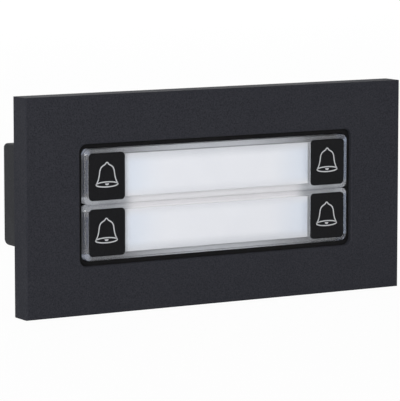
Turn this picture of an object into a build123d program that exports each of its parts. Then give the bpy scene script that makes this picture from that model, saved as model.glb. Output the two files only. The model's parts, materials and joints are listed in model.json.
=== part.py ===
"""Intercom call-key module: a cast front plate, two clear rocker keys with name cards, and a rear box.

Frame: X runs along the plate, Z is up and Y goes into the wall. The plate's back face lies on Y = 0,
so the front faces -Y and the rear box stands out towards +Y. All sizes are in millimetres.
"""

import os

from build123d import *

# Rocker keys
KEY_W = 85.4
KEY_H = 15.22
KEY_GAP = 0.16
KEY_PLAY = 0.3
KEY_CORNER = 1.6
KEY_EDGE = 0.4
LENS_FACE = 1.0
LENS_DEPTH = 2.8
LENS_WALL = 1.65
LENS_FIT = 0.1
BASE_FLANGE_T = 0.35
BASE_INSET = 0.02
SEAM_GAP = 0.05
SNAP_L = 9.0
SNAP_OUT = 0.35
SNAP_T = 0.4
SNAP_PLAY = 0.1

# Bell panels and name cards
PANEL_W = 11.3
PANEL_H = 13.05
PANEL_T = 0.2
PANEL_SINK = 0.03
PANEL_CORNER = 1.2
PANEL_FIT = 0.02
PANEL_MARGIN = 1.2
CARD_SIDE_GAP = 0.45
CARD_EDGE_GAP = 0.1
CARD_T = 0.25
CARD_PLAY = 0.05

# Key pivots and posts
TRUNNION_R = 1.0
TRUNNION_L = 2.0
BEARING_CLEARANCE = 0.05
BEARING_END_PLAY = 0.2
BEARING_NECK = 1.7
EAR_W = 6.0
EAR_GAP = 0.3
EAR_COVER = 1.3
PIVOT_BLOCK_W = 8.0
PIVOT_BLOCK_H = 9.2
PIVOT_BLOCK_BACK = 0.7
POST_W = 4.4
POST_RIB = 1.2
POST_INSET = 6.95
POST_LENGTH = 4.3
POST_ROOM = 1.0
BASE_RIB_W = 1.0
BASE_RIB_H = 1.2
BASE_RIB_SPREAD = 8.6

# Front plate
PLATE_T = 7.0
SIDE_BAND = 16.45
TOP_BAND = 13.35
LEDGE = 1.2
WINDOW_CORNER = 2.2
WINDOW_EDGE = 0.25
PLATE_EDGE = 0.3
RIM = 2.2
FACE_T = 2.2
LIP_T = 1.5
PLATE_RIB_W = 1.2
PLATE_RIB_H = 1.5
PLATE_RIB_PITCH = 20.0
PLATE_RIB_COUNT = 5
PLATE_RIB_GAP = 0.3

# Panel screws, which hold the module to the entrance panel from behind
PANEL_BLOCK = 6.9
PANEL_HOLE_R = 1.25
PANEL_HOLE_DEPTH = 5.0

# Key frame and window gasket
COLLAR_OVERLAP = 0.6
SEAT_W = 4.0
GASKET_FIT = 0.12
FLANGE_OVER = 5.65
FLANGE_T = 1.5
FLANGE_CORNER = 3.0
FRAME_END = 4.9
FRAME_WALL = 1.7
FLOOR_T = 1.2
FLOOR_RIB = 2.5
CLAMP_H = 1.9
CLAMP_RIB_W = 3.2
BAR_INSET = 0.3
PILLAR_SIDE = 3.0
PILLAR_FIT = 0.2

# Silicone key mat
MAT_T = 1.7
MAT_PLAY = 0.15
MAT_MARGIN = 0.56
DOME_R = 4.0
DOME_BOSS_R = 2.5
DOME_WALL = 0.7
DOME_GAP = 0.1
PILL_R = 1.6
PILL_T = 0.5
PILL_TRAVEL = 0.65
LED_ROOM = 0.6

# Circuit boards
BOARD_T = 1.6
BOARD_PLAY = 0.45
BOARD_SCREW_SHANK_R = 0.8
BOARD_SCREW_HEAD_R = 1.8
BOARD_SCREW_HEAD_H = 1.2
BOARD_SCREW_BITE = 4.4
SCREW_FIT = 0.05
LED_W = 3.5
LED_H = 2.8
LED_T = 0.9
LED_NEAR = 11.0
LED_FAR = 24.0
PIN_PITCH = 2.54
PIN_SIDE = 0.64
LINK_PINS = 8
LINK_W = 2.5
LINK_STRIP_H = 2.5
LINK_SOCKET_GAP = 0.2
LINK_HOLE_FIT = 0.04
CHIP_W = 10.3
CHIP_H = 7.5
CHIP_T = 2.3
CHIP_LEADS = 8
CHIP_LEAD_PITCH = 1.27
CHIP_LEAD_W = 0.4
CHIP_LEAD_REACH = 1.4
CHIP_LEAD_T = 0.3
CHIP_STANDOFF = 0.15
CAP_W = 7.3
CAP_H = 4.3
CAP_T = 2.9
CAP_X = 18.0

# Bus headers
HEADER_INSET = 21.75
HEADER_W = 20.4
HEADER_H = 8.8
HEADER_L = 10.2
HEADER_WALL = 1.2
HEADER_FLOOR = 2.0
HEADER_KEY_W = 4.5
HEADER_RECESS = 0.6
HEADER_FIT = 0.3
HEADER_COLUMNS = 5
HEADER_ROWS = 2
HEADER_PIN_L = 3.4

# Rear box
REAR_DEPTH = 28.0
REAR_WALL = 1.8
REAR_TOP_CORNER = 1.2
REAR_FOOT_CORNER = 2.0
REAR_EDGE = 0.7
REAR_FIT = 0.3
REAR_STOP_W = 3.0
REAR_STOP_H = 8.0
LUG_T = 1.6
LUG_OFFSET = 3.1
LUG_REACH = 2.9
LUG_H = 8.0
LUG_CHAMFER = 1.5
LUG_PAD = 5.0
LUG_SEAT_GAP = 0.1
LUG_SCREW_R = 1.2
LUG_SCREW_HOLE_R = 1.4
LUG_SCREW_HEAD_R = 2.3
LUG_SCREW_HEAD_H = 1.3
LUG_SCREW_BITE = 2.4
DRIVE_W = 0.6
DRIVE_DEPTH = 0.5

# Plan sizes that follow from the keys outwards
KEY_PITCH = KEY_H + KEY_GAP
KEY_Z = {"upper": KEY_PITCH / 2, "lower": -KEY_PITCH / 2}
SIDES = {"left": -1, "right": 1}
WELL_W = KEY_W + 2 * KEY_PLAY
WELL_H = 2 * KEY_H + KEY_GAP + 2 * KEY_PLAY
WINDOW_W = WELL_W + 2 * LEDGE
WINDOW_H = WELL_H + 2 * LEDGE
PLATE_W = WINDOW_W + 2 * SIDE_BAND
PLATE_H = WINDOW_H + 2 * TOP_BAND
COLLAR_W = WINDOW_W + 2 * COLLAR_OVERLAP
COLLAR_H = WINDOW_H + 2 * COLLAR_OVERLAP
COLLAR_CORNER = WINDOW_CORNER + COLLAR_OVERLAP
SEAT_RECESS_W = WINDOW_W + 2 * SEAT_W
SEAT_RECESS_H = WINDOW_H + 2 * SEAT_W
FLANGE_W = WINDOW_W + 2 * FLANGE_OVER
FLANGE_H = WINDOW_H + 2 * FLANGE_OVER
FRAME_W = WELL_W + 2 * FRAME_END
FRAME_H = WELL_H + 2 * FRAME_WALL
REAR_W = FRAME_W + 2 * REAR_FIT + 2 * REAR_WALL
BOARD_W = REAR_W - 2 * REAR_WALL - 2 * BOARD_PLAY
BOARD_H = KEY_PITCH + 2 * DOME_R + 2 * MAT_MARGIN
REAR_H = BOARD_H + 2 * BOARD_PLAY + 2 * REAR_WALL
BAR_FROM = WELL_W / 2 + BAR_INSET
BAR_TO = FRAME_W / 2 - BAR_INSET
BAR_X = (BAR_FROM + BAR_TO) / 2
PILLAR_X = BAR_TO - PILLAR_SIDE / 2
PILLAR_Z = (BOARD_H - PILLAR_SIDE) / 2
MAT_W = 2 * (BAR_FROM - MAT_PLAY)
POST_X = KEY_W / 2 - POST_INSET
PANEL_X = KEY_W / 2 - PANEL_MARGIN - PANEL_W / 2
HEADER_X = BOARD_W / 2 - HEADER_INSET
LUG_X = REAR_W / 2 + LUG_OFFSET
PANEL_SCREW_X = PLATE_W / 2 - RIM - PANEL_BLOCK / 2
PANEL_SCREW_Z = PLATE_H / 2 - RIM - PANEL_BLOCK / 2

# Levels along Y, from the front face back to the rear wall
FRONT = -PLATE_T
BACK = 0.0
LIP_BACK = FRONT + LIP_T
FACE_BACK = FRONT + FACE_T
FLANGE_BACK = FACE_BACK + FLANGE_T
LENS_FACE_BACK = FRONT + LENS_FACE
LENS_BACK = FRONT + LENS_DEPTH
PANEL_FRONT = FRONT + PANEL_SINK
PANEL_BACK = PANEL_FRONT + PANEL_T
CARD_FRONT = LENS_FACE_BACK + CARD_PLAY
CARD_BACK = CARD_FRONT + CARD_T
BASE_FRONT = CARD_BACK
BASE_FLANGE_FRONT = LENS_BACK + SEAM_GAP
BASE_BACK = BASE_FLANGE_FRONT + BASE_FLANGE_T
SNAP_Y = (BASE_FRONT + LENS_BACK) / 2
EAR_FRONT = BASE_BACK + EAR_GAP
PIVOT_Y = EAR_FRONT + EAR_COVER
FLOOR_FRONT = PIVOT_Y + TRUNNION_R
FRAME_BACK = FLOOR_FRONT + FLOOR_T
POST_END = BASE_BACK + POST_LENGTH
MAT_FRONT = FRAME_BACK + CLAMP_H
KEY_BOARD_FRONT = MAT_FRONT + MAT_T
KEY_BOARD_BACK = KEY_BOARD_FRONT + BOARD_T
DOME_TOP = POST_END + DOME_GAP
PILL_BACK = KEY_BOARD_FRONT - PILL_TRAVEL
PILL_FRONT = PILL_BACK - PILL_T
LUG_FRONT = FLANGE_BACK + LUG_SEAT_GAP
LUG_BACK = LUG_FRONT + LUG_T
REAR_INSIDE = REAR_DEPTH - REAR_WALL
HEADER_END = REAR_DEPTH - HEADER_RECESS
BUS_BOARD_BACK = HEADER_END - HEADER_L
BUS_BOARD_FRONT = BUS_BOARD_BACK - BOARD_T
HEADER_FLOOR_BACK = BUS_BOARD_BACK + HEADER_FLOOR
LINK_STRIP_END = KEY_BOARD_BACK + LINK_STRIP_H
LINK_PIN_END = (LINK_STRIP_END + BUS_BOARD_FRONT) / 2


def facing_plane(y, x=0.0, z=0.0):
    """A sketch plane seen from the front: sketch X is X and sketch Y is Z."""
    return Plane(origin=(x, y, z), x_dir=(1, 0, 0), z_dir=(0, -1, 0))


def slab(width, height, y_from, y_to, corner=0.0, x=0.0, z=0.0):
    """A plate of that width and height between two levels along Y, with rounded corners if asked."""
    outline = RectangleRounded(width, height, corner) if corner else Rectangle(width, height)
    return extrude(facing_plane(y_from, x, z) * outline, amount=y_from - y_to)


def rod(radius, y_from, y_to, x=0.0, z=0.0):
    """A round rod along Y between two levels."""
    return extrude(facing_plane(y_from, x, z) * Circle(radius), amount=y_from - y_to)


def upright_rod(radius, z_from, z_to, x=0.0, y=0.0):
    """A round rod along Z between two heights."""
    return extrude(Plane.XY.offset(z_from) * Pos(x, y) * Circle(radius), amount=z_to - z_from)


def four_corners(x, z):
    """The four places at plus and minus x and z."""
    return [(side * x, up * z) for side in (-1, 1) for up in (-1, 1)]


def front_edges(part):
    """The outer edges of the part's foremost face."""
    return part.faces().sort_by(Axis.Y)[0].outer_wire().edges()


def make_front_plate():
    """The cast plate: a face with the key window, a deep rim, screw blocks and ribs in its hollow back."""
    plate = slab(PLATE_W, PLATE_H, FRONT, BACK)
    plate = chamfer(front_edges(plate), PLATE_EDGE)
    plate -= slab(PLATE_W - 2 * RIM, PLATE_H - 2 * RIM, FACE_BACK, BACK)
    rib_top = PLATE_H / 2 - RIM
    rib_foot = FLANGE_H / 2 + PLATE_RIB_GAP
    for place in range(PLATE_RIB_COUNT):
        rib_x = (place - (PLATE_RIB_COUNT - 1) / 2) * PLATE_RIB_PITCH
        for up in (-1, 1):
            plate += slab(PLATE_RIB_W, rib_top - rib_foot, FACE_BACK, FACE_BACK + PLATE_RIB_H,
                          x=rib_x, z=up * (rib_top + rib_foot) / 2)
    for x, z in four_corners(PANEL_SCREW_X, PANEL_SCREW_Z):
        plate += slab(PANEL_BLOCK, PANEL_BLOCK, FACE_BACK, BACK, x=x, z=z)
        plate -= rod(PANEL_HOLE_R, BACK - PANEL_HOLE_DEPTH, BACK, x, z)
    for side in SIDES.values():
        plate += slab(LUG_PAD, LUG_PAD, FACE_BACK, LUG_FRONT, x=side * LUG_X)
        plate -= rod(LUG_SCREW_R + SCREW_FIT, LUG_FRONT - LUG_SCREW_BITE - SCREW_FIT, LUG_FRONT, side * LUG_X)
    plate -= slab(SEAT_RECESS_W, SEAT_RECESS_H, LIP_BACK, FACE_BACK, FLANGE_CORNER)
    plate -= slab(WINDOW_W, WINDOW_H, FRONT, LIP_BACK, WINDOW_CORNER)
    window_rim = plate.faces().sort_by(Axis.Y)[0].inner_wires()[0].edges()
    return chamfer(window_rim, WINDOW_EDGE)


def make_window_gasket():
    """The flat rubber ring between the plate's lip and the key frame."""
    outer = slab(SEAT_RECESS_W - 2 * GASKET_FIT, SEAT_RECESS_H - 2 * GASKET_FIT,
                 LIP_BACK, FACE_BACK, FLANGE_CORNER - GASKET_FIT)
    inner = slab(COLLAR_W + 2 * GASKET_FIT, COLLAR_H + 2 * GASKET_FIT,
                 LIP_BACK, FACE_BACK, COLLAR_CORNER + GASKET_FIT)
    return outer - inner


def bearing(z_from, z_to):
    """A snap-in bearing for one trunnion: a round seat along Z with a neck open to the front."""
    seat = upright_rod(TRUNNION_R + BEARING_CLEARANCE, z_from, z_to, y=PIVOT_Y)
    neck = slab(BEARING_NECK, z_to - z_from, EAR_FRONT, PIVOT_Y, z=(z_from + z_to) / 2)
    return seat + neck


def make_key_frame():
    """The black frame that carries both keys in its bearings and both boards on its bars and pillars."""
    frame = slab(FLANGE_W, FLANGE_H, FACE_BACK, FLANGE_BACK, FLANGE_CORNER)
    frame += slab(COLLAR_W, COLLAR_H, LIP_BACK, FACE_BACK, COLLAR_CORNER)
    frame += slab(FRAME_W, FRAME_H, FLANGE_BACK, FRAME_BACK)
    frame -= slab(WELL_W, WELL_H, LIP_BACK, FLOOR_FRONT, KEY_CORNER + KEY_PLAY)
    ear_top = WELL_H / 2
    ear_foot = KEY_PITCH / 2 + PIVOT_BLOCK_H / 2 + EAR_GAP
    middle_top = KEY_PITCH / 2 - PIVOT_BLOCK_H / 2 - EAR_GAP
    bearing_reach = TRUNNION_L - EAR_GAP + BEARING_END_PLAY
    frame += slab(EAR_W, 2 * middle_top, EAR_FRONT, FLOOR_FRONT)
    for up in (-1, 1):
        frame += slab(EAR_W, ear_top - ear_foot, EAR_FRONT, FLOOR_FRONT, z=up * (ear_top + ear_foot) / 2)
        frame -= bearing(*sorted((up * ear_foot, up * (ear_foot + bearing_reach))))
        frame -= bearing(*sorted((up * middle_top, up * (middle_top - bearing_reach))))
    light_from = PIVOT_BLOCK_W / 2 + FLOOR_RIB
    light_to = POST_X + POST_W / 2 + POST_ROOM
    for x, z in four_corners((light_from + light_to) / 2, KEY_PITCH / 2):
        frame -= slab(light_to - light_from, PIVOT_BLOCK_H, FLOOR_FRONT, FRAME_BACK, x=x, z=z)
    frame += slab(2 * BAR_FROM, CLAMP_RIB_W, FRAME_BACK, MAT_FRONT)
    pilot_end = KEY_BOARD_FRONT - BOARD_SCREW_BITE - SCREW_FIT
    for side in SIDES.values():
        frame += slab(BAR_TO - BAR_FROM, BOARD_H, FRAME_BACK, KEY_BOARD_FRONT, x=side * BAR_X)
        frame -= rod(BOARD_SCREW_SHANK_R + SCREW_FIT, pilot_end, KEY_BOARD_FRONT, side * BAR_X)
    for x, z in four_corners(PILLAR_X, PILLAR_Z):
        frame += slab(PILLAR_SIDE, PILLAR_SIDE, KEY_BOARD_FRONT, BUS_BOARD_FRONT, x=x, z=z)
    return frame


def make_lens(row_z):
    """The clear cap of one key, with a seat for a bell panel at each end and a hollow behind."""
    lens = slab(KEY_W, KEY_H, FRONT, LENS_BACK, KEY_CORNER, z=row_z)
    lens = chamfer(front_edges(lens), KEY_EDGE)
    hollow_w = KEY_W - 2 * LENS_WALL
    lens -= slab(hollow_w, KEY_H - 2 * LENS_WALL, LENS_FACE_BACK, LENS_BACK, z=row_z)
    groove_half = SNAP_T / 2 + SNAP_PLAY
    lens -= slab(hollow_w + 2 * SNAP_OUT + 2 * SNAP_PLAY, SNAP_L + 2 * SNAP_PLAY,
                 SNAP_Y - groove_half, SNAP_Y + groove_half, z=row_z)
    for side in SIDES.values():
        lens -= slab(PANEL_W + 2 * PANEL_FIT, PANEL_H + 2 * PANEL_FIT, FRONT, PANEL_BACK,
                     PANEL_CORNER + PANEL_FIT, x=side * PANEL_X, z=row_z)
    return lens


def make_bell_panel(row_z, side):
    """The thin black panel let into one end of a key, which carries the bell sign."""
    return slab(PANEL_W, PANEL_H, PANEL_FRONT, PANEL_BACK, PANEL_CORNER, x=side * PANEL_X, z=row_z)


def make_name_card(row_z):
    """The white paper card behind the clear face, between the two bell panels."""
    card_w = 2 * (PANEL_X - PANEL_W / 2 - CARD_SIDE_GAP)
    card_h = KEY_H - 2 * LENS_WALL - 2 * CARD_EDGE_GAP
    return slab(card_w, card_h, CARD_FRONT, CARD_BACK, z=row_z)


def make_key_base(row_z):
    """The white carrier that closes the clear cap: a plug with end beads, a flange, trunnions and posts."""
    plug_w = KEY_W - 2 * LENS_WALL - 2 * LENS_FIT
    plug_h = KEY_H - 2 * LENS_WALL - 2 * LENS_FIT
    base = slab(plug_w, plug_h, BASE_FRONT, BASE_FLANGE_FRONT, z=row_z)
    base += slab(plug_w + 2 * LENS_FIT + 2 * SNAP_OUT, SNAP_L,
                 SNAP_Y - SNAP_T / 2, SNAP_Y + SNAP_T / 2, z=row_z)
    base += slab(KEY_W - 2 * BASE_INSET, KEY_H - 2 * BASE_INSET, BASE_FLANGE_FRONT, BASE_BACK,
                 KEY_CORNER, z=row_z)
    base += slab(PIVOT_BLOCK_W, PIVOT_BLOCK_H, BASE_BACK, PIVOT_Y + PIVOT_BLOCK_BACK, z=row_z)
    trunnion_half = PIVOT_BLOCK_H / 2 + TRUNNION_L
    base += upright_rod(TRUNNION_R, row_z - trunnion_half, row_z + trunnion_half, y=PIVOT_Y)
    rib_from = PIVOT_BLOCK_W / 2
    rib_to = POST_X - POST_W / 2
    for side in SIDES.values():
        base += slab(POST_W, POST_RIB, BASE_BACK, POST_END, x=side * POST_X, z=row_z)
        base += slab(POST_RIB, POST_W, BASE_BACK, POST_END, x=side * POST_X, z=row_z)
        for up in (-1, 1):
            base += slab(rib_to - rib_from, BASE_RIB_W, BASE_BACK, BASE_BACK + BASE_RIB_H,
                         x=side * (rib_from + rib_to) / 2, z=row_z + up * BASE_RIB_SPREAD / 2)
    return base


def make_key_mat():
    """The silicone mat on the key board: a raised boss over a hollow under each post, and lamp windows."""
    mat = slab(MAT_W, BOARD_H, MAT_FRONT, KEY_BOARD_FRONT)
    for x, z in four_corners(POST_X, KEY_PITCH / 2):
        mat += rod(DOME_BOSS_R, DOME_TOP, MAT_FRONT, x, z)
        mat -= rod(DOME_R - DOME_WALL, PILL_FRONT, KEY_BOARD_FRONT, x, z)
    for reach in (LED_NEAR, LED_FAR):
        for x, z in four_corners(reach, KEY_PITCH / 2):
            mat -= slab(LED_W + 2 * LED_ROOM, LED_H + 2 * LED_ROOM, MAT_FRONT, KEY_BOARD_FRONT, x=x, z=z)
    return mat


def make_contact_pills():
    """The carbon pills under the mat's bosses, which bridge the board's contacts when a key is pressed."""
    return [rod(PILL_R, PILL_FRONT, PILL_BACK, x, z) for x, z in four_corners(POST_X, KEY_PITCH / 2)]


def make_key_board():
    """The board behind the mat, screwed to the frame's end bars, with its corners cut out for the pillars."""
    board = slab(BOARD_W, BOARD_H, KEY_BOARD_FRONT, KEY_BOARD_BACK)
    notch_w = BOARD_W / 2 - PILLAR_X + PILLAR_SIDE / 2 + PILLAR_FIT
    notch_h = PILLAR_SIDE + PILLAR_FIT
    for x, z in four_corners((BOARD_W - notch_w) / 2, (BOARD_H - notch_h) / 2):
        board -= slab(notch_w, notch_h, KEY_BOARD_FRONT, KEY_BOARD_BACK, x=x, z=z)
    for side in SIDES.values():
        board -= rod(BOARD_SCREW_SHANK_R + 2 * SCREW_FIT, KEY_BOARD_FRONT, KEY_BOARD_BACK, side * BAR_X)
    return board


def slotted_screw(head_y, tip_y, shank_r, head_r, head_h, x):
    """A round-headed screw that goes in towards the front, with a slot across its head."""
    screw = rod(shank_r, tip_y, head_y, x) + rod(head_r, head_y, head_y + head_h, x)
    return screw - slab(2 * head_r, DRIVE_W, head_y + head_h - DRIVE_DEPTH, head_y + head_h, x=x)


def make_key_board_screws():
    """The screws that hold the key board to the frame, one at each end."""
    tip = KEY_BOARD_FRONT - BOARD_SCREW_BITE
    return [slotted_screw(KEY_BOARD_BACK, tip, BOARD_SCREW_SHANK_R, BOARD_SCREW_HEAD_R,
                          BOARD_SCREW_HEAD_H, side * BAR_X) for side in SIDES.values()]


def make_backlight_leds():
    """The lamps on the key board that light the name cards through the windows in the mat."""
    return [slab(LED_W, LED_H, KEY_BOARD_FRONT - LED_T, KEY_BOARD_FRONT, x=x, z=z)
            for reach in (LED_NEAR, LED_FAR) for x, z in four_corners(reach, KEY_PITCH / 2)]


def make_bus_board():
    """The rear board, held between the frame's pillars and the stops in the rear box."""
    return slab(BOARD_W, BOARD_H, BUS_BOARD_FRONT, BUS_BOARD_BACK)


def link_places():
    """Where the pins stand that join the two boards."""
    return [(place - (LINK_PINS - 1) / 2) * PIN_PITCH for place in range(LINK_PINS)]


def make_link_strip():
    """The pin strip on the back of the key board."""
    strip = slab(LINK_PINS * PIN_PITCH, LINK_W, KEY_BOARD_BACK, LINK_STRIP_END)
    for x in link_places():
        strip += slab(PIN_SIDE, PIN_SIDE, LINK_STRIP_END, LINK_PIN_END, x=x)
    return strip


def make_link_socket():
    """The socket strip on the front of the bus board, which takes the link strip's pins."""
    socket_front = LINK_STRIP_END + LINK_SOCKET_GAP
    socket = slab(LINK_PINS * PIN_PITCH, LINK_W, socket_front, BUS_BOARD_FRONT)
    hole_side = PIN_SIDE + 2 * LINK_HOLE_FIT
    for x in link_places():
        socket -= slab(hole_side, hole_side, socket_front, LINK_PIN_END + LINK_SOCKET_GAP, x=x)
    return socket


def make_controller_chip():
    """The controller on the back of the bus board, between the headers, with a row of leads each side."""
    chip_front = BUS_BOARD_BACK + CHIP_STANDOFF
    chip = slab(CHIP_W, CHIP_H, chip_front, chip_front + CHIP_T)
    knee = chip_front + CHIP_T / 2
    for place in range(CHIP_LEADS):
        lead_x = (place - (CHIP_LEADS - 1) / 2) * CHIP_LEAD_PITCH
        for up in (-1, 1):
            reach_z = up * (CHIP_H / 2 + CHIP_LEAD_REACH / 2)
            foot_z = up * (CHIP_H / 2 + CHIP_LEAD_REACH - CHIP_LEAD_T / 2)
            chip += slab(CHIP_LEAD_W, CHIP_LEAD_REACH, knee - CHIP_LEAD_T, knee, x=lead_x, z=reach_z)
            chip += slab(CHIP_LEAD_W, CHIP_LEAD_T, BUS_BOARD_BACK, knee, x=lead_x, z=foot_z)
    return chip


def make_supply_capacitors():
    """Two moulded block capacitors on the front of the bus board."""
    return [slab(CAP_W, CAP_H, BUS_BOARD_FRONT - CAP_T, BUS_BOARD_FRONT, x=side * CAP_X)
            for side in SIDES.values()]


def make_bus_header(side):
    """A shrouded header that takes the ribbon plug from behind, with a keying notch below."""
    x = side * HEADER_X
    header = slab(HEADER_W, HEADER_H, BUS_BOARD_BACK, HEADER_END, x=x)
    header -= slab(HEADER_W - 2 * HEADER_WALL, HEADER_H - 2 * HEADER_WALL, HEADER_FLOOR_BACK, HEADER_END, x=x)
    header -= slab(HEADER_KEY_W, HEADER_WALL, HEADER_FLOOR_BACK, HEADER_END,
                   x=x, z=-(HEADER_H - HEADER_WALL) / 2)
    return header


def make_bus_pins(side):
    """The pins that stand on a bus header's floor."""
    pins = []
    tip = HEADER_FLOOR_BACK + HEADER_PIN_L
    for column in range(HEADER_COLUMNS):
        x = side * HEADER_X + (column - (HEADER_COLUMNS - 1) / 2) * PIN_PITCH
        for row in range(HEADER_ROWS):
            z = (row - (HEADER_ROWS - 1) / 2) * PIN_PITCH
            pins.append(slab(PIN_SIDE, PIN_SIDE, HEADER_FLOOR_BACK, tip, x=x, z=z))
    return pins


def make_rear_box():
    """The deep rear box: open to the front, with header cut-outs, stops for the bus board and end lugs."""
    box = slab(REAR_W, REAR_H, LUG_FRONT, REAR_DEPTH)
    box = fillet(box.edges().filter_by(Axis.Y).group_by(Axis.Z)[-1], REAR_TOP_CORNER)
    box = fillet(box.edges().filter_by(Axis.Y).group_by(Axis.Z)[0], REAR_FOOT_CORNER)
    box = chamfer(box.faces().sort_by(Axis.Y)[-1].edges(), REAR_EDGE)
    inside_w = REAR_W - 2 * REAR_WALL
    box -= slab(inside_w, REAR_H - 2 * REAR_WALL, LUG_FRONT, REAR_INSIDE)
    box -= slab(inside_w, REAR_H, LUG_FRONT, FRAME_BACK)
    stop_x = (inside_w - REAR_STOP_W) / 2
    wall_middle = (REAR_W - REAR_WALL) / 2
    lug_length = LUG_X + LUG_REACH - wall_middle
    for side in SIDES.values():
        box -= slab(HEADER_W + 2 * HEADER_FIT, HEADER_H + 2 * HEADER_FIT, REAR_INSIDE, REAR_DEPTH,
                    x=side * HEADER_X)
        box += slab(REAR_STOP_W, REAR_STOP_H, BUS_BOARD_BACK, REAR_INSIDE, x=side * stop_x)
        lug = slab(lug_length, LUG_H, LUG_FRONT, LUG_BACK, x=side * (wall_middle + lug_length / 2))
        outer = lug.faces().sort_by(Axis.X)[0 if side < 0 else -1]
        box += chamfer(outer.edges().filter_by(Axis.Y), LUG_CHAMFER)
        box -= rod(LUG_SCREW_HOLE_R, LUG_FRONT, LUG_BACK, side * LUG_X)
    return box


def make_rear_box_screws():
    """The screws that hold the rear box to the plate and clamp the key frame between them."""
    tip = LUG_FRONT - LUG_SCREW_BITE
    return [slotted_screw(LUG_BACK, tip, LUG_SCREW_R, LUG_SCREW_HEAD_R, LUG_SCREW_HEAD_H, side * LUG_X)
            for side in SIDES.values()]


def make_nodes():
    """Every piece of the module, by its name."""
    nodes = {
        "front_plate": make_front_plate(),
        "window_gasket": make_window_gasket(),
        "key_frame": make_key_frame(),
        "key_mat": make_key_mat(),
        "contact_pills": make_contact_pills(),
        "key_board": make_key_board(),
        "key_board_screws": make_key_board_screws(),
        "backlight_leds": make_backlight_leds(),
        "bus_board": make_bus_board(),
        "link_strip": make_link_strip(),
        "link_socket": make_link_socket(),
        "controller_chip": make_controller_chip(),
        "supply_capacitors": make_supply_capacitors(),
        "rear_box": make_rear_box(),
        "rear_box_screws": make_rear_box_screws(),
    }
    for side_name, side in SIDES.items():
        nodes[f"bus_header_{side_name}"] = make_bus_header(side)
        nodes[f"bus_pins_{side_name}"] = make_bus_pins(side)
    for row, row_z in KEY_Z.items():
        nodes[f"{row}_lens"] = make_lens(row_z)
        nodes[f"{row}_name_card"] = make_name_card(row_z)
        nodes[f"{row}_key_base"] = make_key_base(row_z)
        for side_name, side in SIDES.items():
            nodes[f"{row}_bell_panel_{side_name}"] = make_bell_panel(row_z, side)
    return nodes


def main():
    os.makedirs("parts", exist_ok=True)
    for name, piece in make_nodes().items():
        shape = Compound(children=piece) if isinstance(piece, list) else piece
        export_step(shape, f"parts/{name}.step")
    print(f"plate {PLATE_W:.2f} x {PLATE_H:.2f}, rear box {REAR_W:.2f} x {REAR_H:.2f}")
    print(f"key pivots at Y {PIVOT_Y:.3f}, Z {KEY_PITCH / 2:.4f}")
    print(f"panel screws at X {PANEL_SCREW_X:.3f}, Z {PANEL_SCREW_Z:.3f}")


main()
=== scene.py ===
# %% [markdown]
# # Dressing an intercom call module
# The part is a flush call module: a dark coated front plate with one window, two clear rocker keys that
# hold white name cards between black bell panels, and a black box behind. The CAD model already has every
# main shape, so this lesson loads it as a fixed frame and spends its effort on finishes, on the printed
# signs and on the small turned pieces that a CAD model leaves plain.

import json
import math

import bmesh
import bpy
from mathutils import Matrix, Vector

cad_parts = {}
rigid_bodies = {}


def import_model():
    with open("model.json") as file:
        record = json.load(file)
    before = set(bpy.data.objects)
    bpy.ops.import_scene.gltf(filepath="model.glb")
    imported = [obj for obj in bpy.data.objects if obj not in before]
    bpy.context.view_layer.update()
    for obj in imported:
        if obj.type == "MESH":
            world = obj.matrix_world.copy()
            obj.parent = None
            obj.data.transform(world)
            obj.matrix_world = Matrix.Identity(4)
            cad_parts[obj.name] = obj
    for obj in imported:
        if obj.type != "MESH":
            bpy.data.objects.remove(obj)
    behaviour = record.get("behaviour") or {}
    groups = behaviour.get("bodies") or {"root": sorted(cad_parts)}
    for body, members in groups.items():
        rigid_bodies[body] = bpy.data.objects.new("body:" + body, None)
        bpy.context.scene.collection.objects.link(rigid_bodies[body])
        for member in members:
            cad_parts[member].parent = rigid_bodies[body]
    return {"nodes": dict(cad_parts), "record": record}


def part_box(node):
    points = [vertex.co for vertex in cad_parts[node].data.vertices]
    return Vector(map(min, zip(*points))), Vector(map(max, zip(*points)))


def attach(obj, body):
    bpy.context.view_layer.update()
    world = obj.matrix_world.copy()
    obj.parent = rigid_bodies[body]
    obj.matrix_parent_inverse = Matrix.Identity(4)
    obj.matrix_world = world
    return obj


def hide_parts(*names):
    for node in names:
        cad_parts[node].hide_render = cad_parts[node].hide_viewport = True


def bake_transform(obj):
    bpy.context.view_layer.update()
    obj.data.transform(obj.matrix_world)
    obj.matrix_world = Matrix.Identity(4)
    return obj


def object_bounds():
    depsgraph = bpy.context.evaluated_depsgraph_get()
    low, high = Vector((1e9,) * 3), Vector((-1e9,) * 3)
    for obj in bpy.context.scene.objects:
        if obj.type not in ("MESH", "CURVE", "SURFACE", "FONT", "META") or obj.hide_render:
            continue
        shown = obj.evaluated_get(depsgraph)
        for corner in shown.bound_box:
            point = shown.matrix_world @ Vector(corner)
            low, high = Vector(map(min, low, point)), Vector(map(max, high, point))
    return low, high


for startup_object in list(bpy.data.objects):
    bpy.data.objects.remove(startup_object, do_unlink=True)
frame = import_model()
cad_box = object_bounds()
MM = 0.001
print("nodes", len(frame["nodes"]), "box", [round(v / MM, 2) for corner in cad_box for v in corner])

# %% [markdown]
# ## Camera
# A product photograph is taken from far away with a long lens, so that straight edges stay nearly parallel.
# The camera could be aimed by eye. Here its place and focal length come from the plate's known corners, so
# the module falls on the same pixels as in the photograph: 31 degrees to the left and 7 degrees above.

# %% Camera
IMAGE_WIDTH_PX = 400
FOCAL_PX = 2767.5
SENSOR_MM = 36.0
NEAREST_SEEN = 0.02
CAMERA_AT = Vector((-0.39564, -0.66525, 0.09361))
CAMERA_YAW = 0.53404
CAMERA_PITCH = 0.1228

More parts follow.
